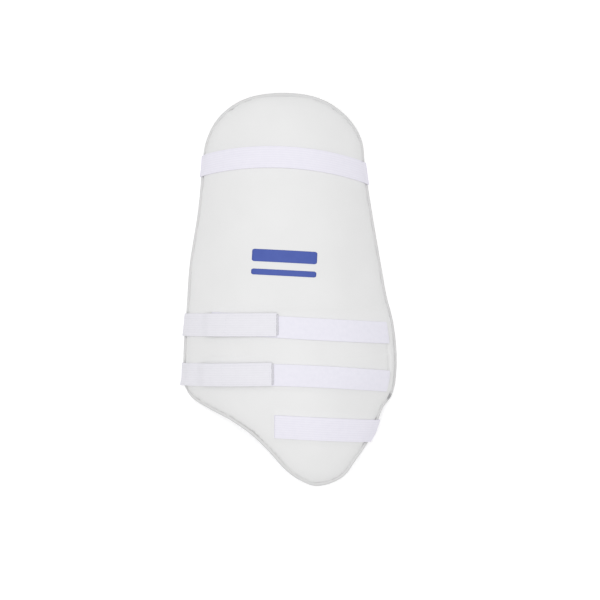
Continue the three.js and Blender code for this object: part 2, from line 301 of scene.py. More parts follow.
    def half_thickness(self, x: Array, y: Array) -> Array:
        """Half the foam's thickness: rolled at the seam, then rising slowly to the full size."""
        distance = self.seam_distance(x, y)
        roll = np.sqrt(1 - (1 - np.minimum(distance / self.edge_roll, 1)) ** 2)
        swell = smoothstep(distance, 0, self.foam_rise)
        extra = self.foam_thickness - self.flank_thickness
        return (self.flank_thickness * roll + extra * swell) / 2

    def pad_point(self, x: Array, y: Array, face: Face, thinner: float = 0.0) -> Array:
        """Points on one face of the pad.

        Args:
            x: The x of the points under them on the middle surface.
            y: The y of the same points.
            face: The face that they lie on.
            thinner: How much less foam the pad has there, at most half of what it has.

        Returns:
            The points, one a row.
        """
        middle = np.stack([x, y, self.middle_height(x, y)], axis=-1)
        half = self.half_thickness(x, y)
        half = half - np.minimum(thinner, half / 2)
        return middle + face.value * half[..., None] * self.middle_normal(x, y)

    def seam_frames(self, before: Array, at: Array, after: Array) -> tuple[Array, Array, Array]:
        """The seam at points of the outline.

        Args:
            before: For each point, one a little back along the outline, as x, y.
            at: The points themselves.
            after: For each point, one a little further on.

        Returns:
            The points on the middle surface, and there the ways out of the pad and up.
        """
        start, place, end = (
            np.column_stack([p, self.middle_height(p[:, 0], p[:, 1])]) for p in (before, at, after)
        )
        along = unit(end - start)
        out = unit(np.cross(self.middle_normal(at[:, 0], at[:, 1]), along))
        return place, out, np.cross(along, out)

    def centre_line(self, line: BandLine) -> Line:
        """A band's centre line as y over x."""
        half_length = self.pad_length / 2
        start = self.edge_x(Side.LEFT, line.left * half_length)
        end = self.edge_x(Side.RIGHT, line.right * half_length)

        def y_of(x: Any) -> Any:
            """The centre line's y at x."""
            share = (x - start) / (end - start)
            straight = line.left + (line.right - line.left) * share
            return (straight + 4 * share * (1 - share) * line.bow) * half_length

        return y_of

    def line_end(self, side: Side, y_of: Line) -> float:
        """The x where a line over the pad meets the seam on one side."""
        x = self.edge_x(side, y_of(0.0))
        for _ in range(self.crossing_rounds):
            x = self.edge_x(side, y_of(x))
        return float(x)

    def piping_section(self, side: Side, y_of: Line, points: int = 120) -> Array:
        """The piping's section where a line over the pad crosses it.

        Args:
            side: The edge where it crosses.
            y_of: The line, as y over x.
            points: How many points the section has.

        Returns:
            Rows of x, z, stretched where the line crosses aslant.
        """
        x = self.line_end(side, y_of)

        def frame_at(y: float) -> tuple[Array, Array]:
            """The seam's place and its way out at y."""
            step = self.slope_step if side is Side.LEFT else -self.slope_step
            at = [np.array([[self.edge_x(side, v), v]]) for v in (y - step, y, y + step)]
            place, out, _ = self.seam_frames(*at)
            return place[0], out[0]

        _, first_out = frame_at(y_of(x))
        place, out = frame_at(y_of(x) - first_out[1] * self.piping_offset)
        centre = place + out * self.piping_offset
        stretch = 1 / abs(out[0] / math.hypot(out[0], out[1]))
        turns = np.linspace(0, 2 * math.pi, points, endpoint=False)
        reach = self.piping_radius * np.stack([stretch * np.cos(turns), np.sin(turns)], axis=1)
        return centre[[0, 2]] + reach

    def taut_section(self, y_of: Line, start: float, first_turn: float, last_turn: float) -> Array:
        """A taut line round the pad and its piping, over the face from left to right.

        Args:
            y_of: The line in plan, as y over x.
            start: Only what lies to the right of this x carries the line.
            first_turn: The way that the line faces at its left end, as an angle from +X.
            last_turn: The same at its right end.

        Returns:
            Rows of x, z.
        """
        left, right = (self.line_end(side, y_of) for side in (Side.LEFT, Side.RIGHT))
        across = (1 - np.cos(np.linspace(0, math.pi, self.section_points))) / 2
        x = left + (right - left) * across
        face = self.pad_point(x, y_of(x), Face.FRONT)[:, [0, 2]]
        ends = [self.piping_section(side, y_of) for side in (Side.LEFT, Side.RIGHT)]
        points = np.vstack([face, *ends])
        points = points[points[:, 0] >= start]
        turns = np.linspace(first_turn, last_turn, 4 * self.section_points)
        ways = np.stack([np.cos(turns), np.sin(turns)])
        reached = (points @ ways).argmax(axis=0)
        kept = np.concatenate([[True], np.diff(reached) != 0])
        return points[reached[kept]]


# Straight down behind the pad, turned a touch outward so that each side's edge is met
DOWN_RIGHT = math.radians(-89)
DOWN_LEFT = math.pi - DOWN_RIGHT


# Meshes


def grid_sheet(mesh: BMesh, points: Array, lay: tuple[float, float]) -> None:
    """Adds a sheet of quads that passes through rows and columns of points.

    Args:
        mesh: What the sheet is added to. It has a UV layer.
        points: The points, as rows of columns.
        lay: The sheet's real length along its columns and its width across its rows.
    """
    rows, columns = points.shape[:2]
    made = bmesh.ops.create_grid(mesh, x_segments=columns - 1, y_segments=rows - 1, size=1)
    uv_layer = mesh.loops.layers.uv.active
    shares = {}
    for vert in made["verts"]:
        share = (vert.co.xy + Vector((1, 1))) / 2
        shares[vert] = share
        row, column = round(share.y * (rows - 1)), round(share.x * (columns - 1))
        vert.co = points[row, column]
    for part in {part for vert in made["verts"] for part in vert.link_faces}:
        for loop in part.loops:
            share = shares[loop.vert]
            loop[uv_layer].uv = (share.x * lay[0], share.y * lay[1])


def new_bmesh() -> BMesh:
    """An empty bmesh with a UV layer for patterns that follow the surface, in metres."""
    mesh = bmesh.new()
    mesh.loops.layers.uv.new("lay")
    return mesh


def add_piece(name: str, mesh: BMesh) -> Piece:
    """Makes a smooth-shaded object of a bmesh, with its faces turned outwards.

    Args:
        name: The piece's name.
        mesh: Its shape, which is freed.

    Returns:
        The new object, at the origin.
    """
    bmesh.ops.recalc_face_normals(mesh, faces=mesh.faces)
    for part in mesh.faces:
        part.smooth = True
    data = bpy.data.meshes.new(name)
    mesh.to_mesh(data)
    mesh.free()
    piece = bpy.data.objects.new(name, data)
    bpy.context.scene.collection.objects.link(piece)
    return piece


def coordinates(data: bpy.types.Mesh) -> Array:
    """A mesh's vertices, one a row."""
    flat = np.empty(len(data.vertices) * 3)
    data.vertices.foreach_get("co", flat)
    return flat.reshape(-1, 3)


def set_coordinates(data: bpy.types.Mesh, points: Array) -> None:
    """Moves a mesh's vertices to new places, one a row."""
    data.vertices.foreach_set("co", points.ravel())
    data.update()


def apply_modifiers(piece: Piece) -> None:
    """Makes what a piece's modifiers show its own mesh."""
    graph = bpy.context.evaluated_depsgraph_get()
    graph.update()
    finished = bpy.data.meshes.new_from_object(piece.evaluated_get(graph))
    piece.modifiers.clear()
    piece.data = finished


def set_attribute(data: bpy.types.Mesh, name: str, values: Array) -> None:
    """Gives each vertex of a mesh a number that its material reads."""
    attribute = data.attributes.new(name, "FLOAT", "POINT")
    attribute.data.foreach_set("value", values.astype(np.float32))


def nearest_on(tree: BVHTree, points: Array) -> tuple[Array, Array]:
    """The nearest points of a surface.

    Args:
        tree: The surface.
        points: Where to look from, one a row.

    Returns:
        The nearest points and the surface's normals there.
    """
    found = [tree.find_nearest(point) for point in points]
    return np.array([hit[0] for hit in found]), np.array([hit[1] for hit in found])


def wander(places: Array, size: float, drift: Drift) -> Array:
    """Smooth noise of about -1 to 1.

    Args:
        places: Where it is read, one a row.
        size: The size of its swells.
        drift: Which unevenness it is.

    Returns:
        Its value at each place.
    """
    padded = np.zeros((len(places), 3))
    padded[:, : places.shape[1]] = places / size
    seed = drift.value
    shift = Vector((seed, 2 * seed, 3 * seed))
    return np.array([noise.noise(Vector(place) + shift) for place in padded])


# Finishes


def linear_colour(colour: str) -> tuple[float, float, float, float]:
    """An sRGB hex colour such as #ECECEC as linear red, green, blue and an alpha of 1."""
    channels = [int(colour[start : start + 2], 16) / 255 for start in (1, 3, 5)]
    linear = [c / 12.92 if c <= 0.04045 else ((c + 0.055) / 1.055) ** 2.4 for c in channels]
    return (*linear, 1.0)


def add_node(tree: Tree, kind: str, inputs: dict[Any, Any] | None = None, **settings: Any) -> Node:
    """Adds a node.

    Args:
        tree: The material's node tree.
        kind: The node's type name without its ShaderNode.
        inputs: For its sockets, by name or number, an output to link or a value to set.
        settings: Its own settings.

    Returns:
        The node.
    """
    node = tree.nodes.new("ShaderNode" + kind)
    for name, value in settings.items():
        setattr(node, name, value)
    for name, value in (inputs or {}).items():
        if isinstance(value, bpy.types.NodeSocket):
            tree.links.new(value, node.inputs[name])
        else:
            node.inputs[name].default_value = value
    return node


def arithmetic(tree: Tree, operation: str, *values: Any) -> Any:
    """The output of a Math node over values or outputs."""
    return add_node(tree, "Math", dict(enumerate(values)), operation=operation).outputs[0]


def blend(tree: Tree, share: Any, low: Any, high: Any) -> Any:
    """A colour between a low one and a high one, by a share from 0 to 1."""
    # A Mix node's colours are its sockets 6 and 7, and its output 2
    return add_node(tree, "Mix", {0: share, 6: low, 7: high}, data_type="RGBA").outputs[2]


def wave_over(tree: Tree, place: Any, period: float, phase: Any = 0.0) -> Any:
    """A wave from 0 to 1 with a real period over a place in metres."""
    angle = arithmetic(tree, "MULTIPLY_ADD", place, 2 * math.pi / period, phase)
    return arithmetic(tree, "MULTIPLY_ADD", arithmetic(tree, "SINE", angle), 0.5, 0.5)


def cells_over(tree: Tree, place: Any, size: float, scatter: float = 1.0) -> Any:
    """Rounded cells of a real size, as the distance from the middle of each."""
    inputs = {"Vector": place, "Scale": 1 / size, "Randomness": scatter}
    return add_node(tree, "TexVoronoi", inputs, feature="SMOOTH_F1").outputs["Distance"]


def drift_over(tree: Tree, place: Any, size: float, detail: float = 2.0) -> Any:
    """Smooth unevenness of a real size, from 0 to 1."""
    inputs = {"Vector": place, "Scale": 1 / size, "Detail": detail}
    return add_node(tree, "TexNoise", inputs).outputs["Fac"]


def object_place(tree: Tree) -> Any:
    """Where a point lies in its piece's own frame."""
    return add_node(tree, "TexCoord").outputs["Object"]


def axes(tree: Tree, place: Any) -> tuple[Any, Any]:
    """A place's first and second coordinate."""
    split = add_node(tree, "SeparateXYZ", {0: place})
    return split.outputs["X"], split.outputs["Y"]


def lay_of(tree: Tree) -> tuple[Any, Any, Any]:
    """A sheet's own coordinates in metres: both together, along it and across it."""
    lay = add_node(tree, "UVMap", uv_map="lay").outputs["UV"]
    return (lay, *axes(tree, lay))


@dataclass(frozen=True)
class Finish:
    """What every finish has: a colour, a darker colour for its low tones and for the shade painted
    into its hollows, and a roughness.
    """

    name: str
    colour: str
    low_tone_and_shade_colour: str
    roughness: float
    sheen: float
    specular: float

    def material(self) -> bpy.types.Material:
        """Makes the material, or gives the one that is already made."""
        made = bpy.data.materials.get(self.name)
        if made is None:
            made = bpy.data.materials.new(self.name)
            made.use_nodes = True
            shader = made.node_tree.nodes["Principled BSDF"]
            constants = {
                "Roughness": self.roughness,
                "Sheen Weight": self.sheen,
                "Sheen Roughness": 0.5,
                "Specular IOR Level": self.specular,
            }
            for name, value in constants.items():
                shader.inputs[name].default_value = value
            self.pattern(made.node_tree, shader)
        return made

    def pattern(self, tree: Tree, shader: Node) -> None:
        """Adds the finish's own relief and tones."""
        raise NotImplementedError

    def surface(self, tree: Tree, shader: Node, height: Any, depth: float, tone: Any) -> None:
        """Links a relief and a tone to the shader.

        Args:
            tree: The material's node tree.
            shader: Its shader.
            height: The relief, from 0 to 1.
            depth: The relief's real depth.
            tone: How far the colour goes from the darker one to the high parts', from 0 to 1;
                where it follows the relief, the darker end is painted shade.
        """
        # The darker colour is painted shade wherever the tone follows the relief
        low, high = linear_colour(self.low_tone_and_shade_colour), linear_colour(self.colour)
        tree.links.new(blend(tree, tone, low, high), shader.inputs["Base Color"])
        bump = add_node(tree, "Bump", {"Height": height, "Distance": depth, "Strength": 1.0})
        tree.links.new(bump.outputs["Normal"], shader.inputs["Normal"])


@dataclass(frozen=True)
class CoatedCoverCloth(Finish):
    """Woven polyester with a thin matt coating: the eye sees an even white, softened by a fine
    grain, greyer along the seam, where soiling and painted shade of the seam's groove darken it."""

    name: str = "coated_cover_cloth"
    colour: str = "#EAEAEA"
    low_tone_and_shade_colour: str = "#DFDFDF"
    roughness: float = 0.7
    sheen: float = 0.04
    specular: float = 0.2
    # The real grain is 0.4 mm, too fine to show: it is drawn this coarse
    grain: float = 1.3 * MM
    grain_depth: float = 0.05 * MM
    grain_scatter: float = 0.8
    fine_creases: float = 0.8
    cloud: float = 45 * MM
    cloud_contrast: float = 0.5
    cloud_tone: float = 0.45
    # Darker along the seam: soiling there, and painted shade of the seam's groove
    seam_soil_and_shade_width: float = 9 * MM
    seam_soil_and_shade_tone: float = 0.75
    seam_soil_and_shade_depth: float = 0.35

    def pattern(self, tree: Tree, shader: Node) -> None:
        """Adds the coated weave's grain, faint clouds and the darkening along the seam: soiling
        and painted shade.
        """
        place = object_place(tree)
        cells = cells_over(tree, place, self.grain, self.grain_scatter)
        creases = drift_over(tree, place, 3 * self.grain, detail=3.0)
        clouds = drift_over(tree, place, self.cloud)
        height = arithmetic(tree, "MULTIPLY_ADD", creases, self.fine_creases, cells)
        # The seam's darkening: soiling, and painted shade of the seam's groove
        inside = add_node(tree, "Attribute", attribute_name="from_seam").outputs["Fac"]
        clear_of_soil_and_shade = arithmetic(tree, "MULTIPLY", inside, 1 / self.seam_soil_and_shade_width)
        clear_of_soil_and_shade = arithmetic(tree, "MINIMUM", clear_of_soil_and_shade, 1.0)
        clear_of_soil_and_shade = arithmetic(tree, "MULTIPLY_ADD", clear_of_soil_and_shade, self.seam_soil_and_shade_depth, self.seam_soil_and_shade_tone)
        cloudy = arithmetic(tree, "MULTIPLY_ADD", clouds, self.cloud_contrast, self.cloud_tone)
        tone = arithmetic(tree, "MULTIPLY", cloudy, clear_of_soil_and_shade)
        self.surface(tree, shader, height, self.grain_depth, tone)


@dataclass(frozen=True)
class BiasPipingCloth(Finish):
    """A bias strip of the cover's cloth round a cord: the eye sees its weave run slantwise."""

    name: str = "bias_piping_cloth"
    colour: str = "#DEDEDE"
    low_tone_and_shade_colour: str = "#CDCDCD"
    roughness: float = 0.65
    sheen: float = 0.04
    specular: float = 0.2
    # The real threads are 0.35 mm apart: they are drawn this coarse
    thread: float = 1.1 * MM
    thread_depth: float = 0.06 * MM
    crossing_share: float = 0.5
    thread_contrast: float = 0.25
    thread_tone: float = 0.5
    # A dark grey painted where the wing's lower corner lies in shade
    corner_shade_colour: str = "#A0A0A2"

    def pattern(self, tree: Tree, shader: Node) -> None:
        """Adds the slanting threads and the painted shade at the wing's lower corner."""
        _, along, around = lay_of(tree)
        threads = wave_over(tree, arithmetic(tree, "ADD", along, around), self.thread)
        crossing = wave_over(tree, arithmetic(tree, "SUBTRACT", along, around), self.thread)
        height = arithmetic(tree, "MULTIPLY_ADD", crossing, self.crossing_share, threads)
        # The tone follows the threads' relief: painted shade between them
        tone = arithmetic(tree, "MULTIPLY_ADD", height, self.thread_contrast, self.thread_tone)
        self.surface(tree, shader, height, self.thread_depth, tone)
        # Darkens the piping to that grey: painted shade at the wing's lower corner
        corner_shade = add_node(tree, "Attribute", attribute_name="corner_shade").outputs["Fac"]
        woven = shader.inputs["Base Color"].links[0].from_socket
        corner_shade_colour = linear_colour(self.corner_shade_colour)
        tree.links.new(blend(tree, corner_shade, woven, corner_shade_colour), shader.inputs["Base Color"])


@dataclass(frozen=True)
class WovenElastic(Finish):
    """Woven elastic webbing: cool white ribs run along it, with finer picks across them."""

    name: str = "woven_elastic"
    colour: str = "#EFEDF6"
    low_tone_and_shade_colour: str = "#E3E1EC"
    roughness: float = 0.8
    sheen: float = 0.1
    specular: float = 0.2
    rib: float = 2.35 * MM
    # The real picks are 0.5 mm apart: they are drawn this coarse
    pick: float = 1.2 * MM
    relief: float = 0.05 * MM
    pick_share: float = 0.55
    rib_contrast: float = 0.3
    fading: float = 6 * MM
    faded_contrast: float = 0.5
    faded_tone: float = 0.15

    def pattern(self, tree: Tree, shader: Node) -> None:
        """Adds the ribs and the picks across them."""
        lay, along, across = lay_of(tree)
        ribs = wave_over(tree, across, self.rib)
        step = arithmetic(tree, "MULTIPLY", across, math.pi / self.rib)
        picks = wave_over(tree, along, self.pick, step)
        height = arithmetic(tree, "MULTIPLY_ADD", picks, self.pick_share, ribs)
        fibres = drift_over(tree, lay, self.fading, detail=3.0)
        faded = arithmetic(tree, "MULTIPLY_ADD", fibres, self.faded_contrast, self.faded_tone)
        # The tone follows the ribs and picks: painted shade in their valleys, over a random fading
        tone = arithmetic(tree, "MULTIPLY_ADD", height, self.rib_contrast, faded)
        self.surface(tree, shader, height, self.relief, tone)


@dataclass(frozen=True)
class LoopPile(Finish):
    """Brushed nylon loop tape: a soft matt pile that catches light from the side."""

    name: str = "loop_pile"
    colour: str = "#EEECF5"
    low_tone_and_shade_colour: str = "#E5E4EE"
    roughness: float = 0.95
    sheen: float = 0.15
    specular: float = 0.1
    # The real loops are 0.3 mm wide: tufts of them are drawn
    tuft: float = 1.1 * MM
    pile_depth: float = 0.09 * MM
    nap_share: float = 1.2

    def pattern(self, tree: Tree, shader: Node) -> None:
        """Adds the tufts of the pile."""
        lay, _, _ = lay_of(tree)
        tufts = arithmetic(tree, "SUBTRACT", 1.0, cells_over(tree, lay, self.tuft))
        naps = drift_over(tree, lay, 4 * self.tuft, detail=4.0)
        height = arithmetic(tree, "MULTIPLY_ADD", naps, self.nap_share, tufts)
        # The naps set relief and tone alike: random tone of the pile, with painted shade where it
        # lies low
        self.surface(tree, shader, height, self.pile_depth, naps)


@dataclass(frozen=True)
class HookNylon(Finish):
    """Moulded nylon hook tape: rows of tiny stiff hooks, a little glassy."""

    name: str = "hook_nylon"
    colour: str = "#DEDDE3"
    low_tone_and_shade_colour: str = "#C9C8CE"
    roughness: float = 0.45
    sheen: float = 0.0
    specular: float = 0.5
    # The real hooks stand 0.9 mm apart: they are drawn at this step
    hook_step: float = 1.3 * MM
    hook_height: float = 0.1 * MM

    def pattern(self, tree: Tree, shader: Node) -> None:
        """Adds the rows of hooks."""
        _, along, across = lay_of(tree)
        rows = wave_over(tree, along, self.hook_step)
        columns = wave_over(tree, across, self.hook_step)
        height = arithmetic(tree, "MULTIPLY", rows, columns)
        # The tone is the relief: painted shade between the hooks
        self.surface(tree, shader, height, self.hook_height, height)


@dataclass(frozen=True)
class SewingThread(Finish):
    """Bonded polyester thread: two plies twisted together, with a faint gloss."""

    name: str = "sewing_thread"
    colour: str = "#EFEEF4"
    low_tone_and_shade_colour: str = "#D2D1DA"
    roughness: float = 0.5
    sheen: float = 0.1
    specular: float = 0.4
    twist: float = 0.8 * MM
    twist_depth: float = 0.05 * MM

    def pattern(self, tree: Tree, shader: Node) -> None:
        """Adds the twist of the plies."""
        slant = arithmetic(tree, "ADD", *axes(tree, object_place(tree)))
        plies = wave_over(tree, slant, self.twist)
        # The tone is the relief: painted shade in the twist's grooves
        self.surface(tree, shader, plies, self.twist_depth, plies)


@dataclass(frozen=True)
class TransferFilm(Finish):
    """A heat-pressed colour film: flat blue that takes up the cloth's grain."""

    name: str = "blue_transfer_film"
    colour: str = "#4F62B0"
    low_tone_and_shade_colour: str = "#4658A4"
    roughness: float = 0.5
    sheen: float = 0.0
    specular: float = 0.2
    grain: float = 1.3 * MM
    grain_depth: float = 0.03 * MM
    patch: float = 8 * MM

    def pattern(self, tree: Tree, shader: Node) -> None:
        """Adds the grain that shows through the film."""
        place = object_place(tree)
        cells = cells_over(tree, place, self.grain)
        patches = drift_over(tree, place, self.patch, detail=3.0)
        self.surface(tree, shader, cells, self.grain_depth, patches)


# The guard's pieces


def finish_piece(piece: Piece, finish: Finish, slot: Slot | None, *nodes: str) -> Piece:
    """Dresses a piece and joins it to the frame.

    Args:
        piece: The piece, in place.
        finish: Its material.
        slot: The record's slot for the piece, if it has one. It is not used.
        nodes: The solids that it stands for.

    Returns:
        The piece.
    """
    piece.data.materials.clear()
    piece.data.materials.append(finish.material())
    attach(piece, BODY)
    if nodes:
        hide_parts(*nodes)
    log.info("%s: %d faces", piece.name, len(piece.data.polygons))
    return piece


@dataclass(frozen=True)
class BandRegister:
    """Where bands hold the cover down: each one's centre line, its width and where it starts."""

    lines: tuple[tuple[Line, float, float], ...]
    shoulder: float = 6 * MM
    under_edge: float = 0.5 * MM

    def hold(self, points: Array) -> Array:
        """How firmly the bands hold the cover at points, from 0 to 1."""
        held = np.zeros(len(points))
        for y_of, width, start in self.lines:
            gap = np.abs(points[:, 1] - y_of(points[:, 0])) - width / 2
            near = 1 - smoothstep(gap, -self.under_edge, self.shoulder)
            near *= smoothstep(points[:, 0], start - self.shoulder, start)
            held = np.maximum(held, near)
        return held


@dataclass
class PaddedShell:
    """The foam pad in its cover, swollen between the seam and the bands that hold it."""

    form: GuardForm
    front_bands: BandRegister
    hollow_bands: BandRegister
    rows: int = 260
    columns: int = 120
    weld: float = 0.05 * MM
    slack: float = 1.3 * MM
    voxel: float = 4.5 * MM
    pressure: float = 4.0
    quality: int = 5
    frames: int = 20
    most_swell: float = 2.4 * MM
    pinned_width: float = 6 * MM
    least: float = -1.3 * MM
    most: float = 1.1 * MM
    under_band: float = -0.05 * MM
    pucker: float = 0.4 * MM
    pucker_step: float = 9 * MM
    pucker_stretch: float = 3.0
    pucker_reach: float = 7 * MM
    crease: float = 2.1 * MM
    crease_inset: float = 14.5 * MM
    crease_width: float = 2.8 * MM
    # Where the wing's crease sets in and ends: x in shares of half the pad's width, y in metres
    wing_x: tuple[float, float] = (0.6, 0.8)
    wing_foot: tuple[float, float] = (-104 * MM, -92 * MM)
    wing_head: tuple[float, float] = (-52 * MM, -36 * MM)
    lining_fold: float = 0.35 * MM
    lining_fold_step: float = 15 * MM
    lining_fold_turn: float = 3.0
    lining_turn_size: float = 80 * MM
    lining_depth_size: float = 60 * MM
    lining_fold_from: tuple[float, float] = (15 * MM, 45 * MM)
    swelling: float = 0.3 * MM
    swelling_size: float = 50 * MM
    swelling_from: tuple[float, float] = (10 * MM, 40 * MM)
    rim_reach: float = 3.5 * MM
    rim_width: float = 11 * MM
    seam_step: float = 0.5 * MM

    def body(self, thinner: float) -> BMesh:
        """The pad's closed form.

        Args:
            thinner: How much foam is left off each face away from the seam.

        Returns:
            The form as a bmesh, its two sheets joined at the seam.
        """
        form = self.form
        along = (1 - np.cos(np.linspace(0, math.pi, self.rows))) / 2
        across = (1 - np.cos(np.linspace(0, math.pi, self.columns))) / 2
        y = (form.tongue_tip[1] + (form.round_tip[1] - form.tongue_tip[1]) * along)[:, None]
        left, right = form.edge_x(Side.LEFT, y), form.edge_x(Side.RIGHT, y)
        x = left + (right - left) * across[None, :]
        y = np.broadcast_to(y, x.shape)
        mesh = new_bmesh()
        for face in Face:
            points = form.pad_point(x, y, face, thinner)
            grid_sheet(mesh, points, (form.pad_width, form.pad_length))
        bmesh.ops.remove_doubles(mesh, verts=mesh.verts, dist=self.weld)
        bmesh.ops.recalc_face_normals(mesh, faces=mesh.faces)
        return mesh

    @cached_property
    def full_surface(self) -> BVHTree:
        """The pad's full form, as a tree to measure from."""
        mesh = self.body(0.0)
        tree = BVHTree.FromBMesh(mesh)
        mesh.free()
        return tree

    @cached_property
    def seam_points(self) -> Array:
        """Points along the seam, a seam step apart."""
        outline = np.vstack([self.form.outline, self.form.outline[:1]])
        height = self.form.middle_height(outline[:, 0], outline[:, 1])
        path = np.column_stack([outline, height])
        return spaced(path, round(path_length(path) / self.seam_step))

    @cached_property
    def seam(self) -> KDTree:
        """The seam's points as a tree to measure from."""
        tree = KDTree(len(self.seam_points))
        for number, point in enumerate(self.seam_points):
            tree.insert(point, number)
        tree.balance()
        return tree

    @cached_property
    def seam_ways(self) -> Array:
        """The way out of the pad at each of the seam's points."""
        plan = self.seam_points[:, :2]
        return self.form.seam_frames(np.roll(plan, 1, axis=0), plan, np.roll(plan, -1, axis=0))[1]

    def from_seam(self, points: Array) -> tuple[Array, Array]:
        """The distance of points to the seam, and how far along the seam each is."""
        found = [self.seam.find(point) for point in points]
        distance = np.array([hit[2] for hit in found])
        return distance, np.array([hit[1] for hit in found]) * self.seam_step

    def hold(self, points: Array, normals: Array) -> Array:
        """How firmly the bands hold the cover at points of either face."""
        front = normals[:, 2] > 0
        return np.where(front, self.front_bands.hold(points), self.hollow_bands.hold(points))

    def cover_blank(self) -> Piece:
        """The cover before it swells: a slightly thinner form of even quads."""
        piece = add_piece("thigh_pad_cover", self.body(self.slack))
        remesh = piece.modifiers.new("even_quads", "REMESH")
        remesh.mode = "VOXEL"
        remesh.voxel_size = self.voxel
        apply_modifiers(piece)
        return piece

    def swell(self, piece: Piece) -> None:
        """Swells the cover as cloth under pressure, pinned at its seam and under its bands."""
        before = coordinates(piece.data)
        nearest, normals = nearest_on(self.full_surface, before)
        distance, _ = self.from_seam(before)
        sewn = 1 - smoothstep(distance, 0, self.pinned_width)
        pins = np.maximum(self.hold(nearest, normals), sewn)
        group = piece.vertex_groups.new(name="held")
        for index, weight in enumerate(pins):
            group.add([index], float(weight), "REPLACE")
        cloth = piece.modifiers.new("cover_cloth", "CLOTH")
        settings = cloth.settings
        settings.quality = self.quality
        settings.use_pressure = True
        settings.uniform_pressure_force = self.pressure
        settings.effector_weights.gravity = 0
        settings.vertex_group_mass = group.name
        cloth.collision_settings.use_collision = False
        cloth.point_cache.frame_start = 1
        cloth.point_cache.frame_end = self.frames
        scene = bpy.context.scene
        for step in range(1, self.frames + 1):
            scene.frame_set(step)
        graph = bpy.context.evaluated_depsgraph_get()
        after = coordinates(piece.evaluated_get(graph).data)
        piece.modifiers.clear()
        scene.frame_set(1)
        move = after - before
        reach = np.maximum(np.linalg.norm(move, axis=1, keepdims=True), TINY)
        set_coordinates(piece.data, before + move * np.minimum(1, self.most_swell / reach))
        piece.vertex_groups.clear()

    def wing_crease(self, points: Array, distance: Array) -> Array:
        """How deep the wing is creased at points of the cover's front.

        Args:
            points: The points, one a row.
            distance: Their distance to the seam.

        Returns:
            The crease's depth at each.
        """
        x, y = points[:, 0], points[:, 1]
        inner, outer = (share * self.form.pad_width / 2 for share in self.wing_x)
        wing = smoothstep(x, inner, outer) * smoothstep(y, *self.wing_foot)
        wing *= 1 - smoothstep(y, *self.wing_head)
        off_line = (distance - self.crease_inset) / self.crease_width
        return self.crease * wing * np.exp(-(off_line**2))

    def lining_folds(self, points: Array, distance: Array) -> Array:
        """How far the lining's folds stand off the hollow side.

        Args:
            points: Points of the hollow side, one a row.
            distance: Their distance to the seam.

        Returns:
            The folds' height at each.
        """
        turn = self.lining_fold_turn * wander(points, self.lining_turn_size, Drift.LINING_FOLD_WAY)
        folds = np.sin(points[:, 0] * 2 * math.pi / self.lining_fold_step + turn)
        inner = smoothstep(distance, *self.lining_fold_from)
        depth = wander(points, self.lining_depth_size, Drift.LINING_FOLD_DEPTH)
        return self.lining_fold * depth * folds * inner

    def settle(self, piece: Piece) -> None:
        """Lays the swollen cover to its bands, puckers it along the seam and creases the wing."""
        smooth = piece.modifiers.new("finer", "SUBSURF")
        smooth.levels = smooth.render_levels = 1
        apply_modifiers(piece)
        points = coordinates(piece.data)
        nearest, normals = nearest_on(self.full_surface, points)
        height = ((points - nearest) * normals).sum(axis=1)
        distance, along = self.from_seam(nearest)
        hold = self.hold(nearest, normals)
        front = normals[:, 2] > 0
        free = 1 - hold
        height = self.under_band * hold + np.clip(height, self.least, self.most) * free
        places = np.stack([along, distance / self.pucker_stretch], axis=1)
        puckers = wander(places, self.pucker_step, Drift.PUCKERS)
        height += self.pucker * puckers * np.exp(-distance / self.pucker_reach) * free
        height -= self.wing_crease(nearest, distance) * front
        height += self.lining_folds(nearest, distance) * ~front * free
        swell = wander(nearest, self.swelling_size, Drift.SWELL)
        height += self.swelling * swell * smoothstep(distance, *self.swelling_from) * free
        ways = self.seam_ways[np.rint(along / self.seam_step).astype(int)]
        rim = self.rim_reach * (1 - smoothstep(distance, 0, self.rim_width)) * free
        set_coordinates(piece.data, nearest + normals * height[:, None] + ways * rim[:, None])
        set_attribute(piece.data, "from_seam", distance)

    def build(self) -> Piece:
        """Makes the cover in place."""
        piece = self.cover_blank()
        self.swell(piece)
        self.settle(piece)
        for part in piece.data.polygons:
            part.use_smooth = True
        return piece

    def dress(self, piece: Piece) -> None:
        """Gives the cover its cloth and stands it in for the pad."""
        finish_piece(piece, CoatedCoverCloth(), Slot.COVER, "thigh_pad")


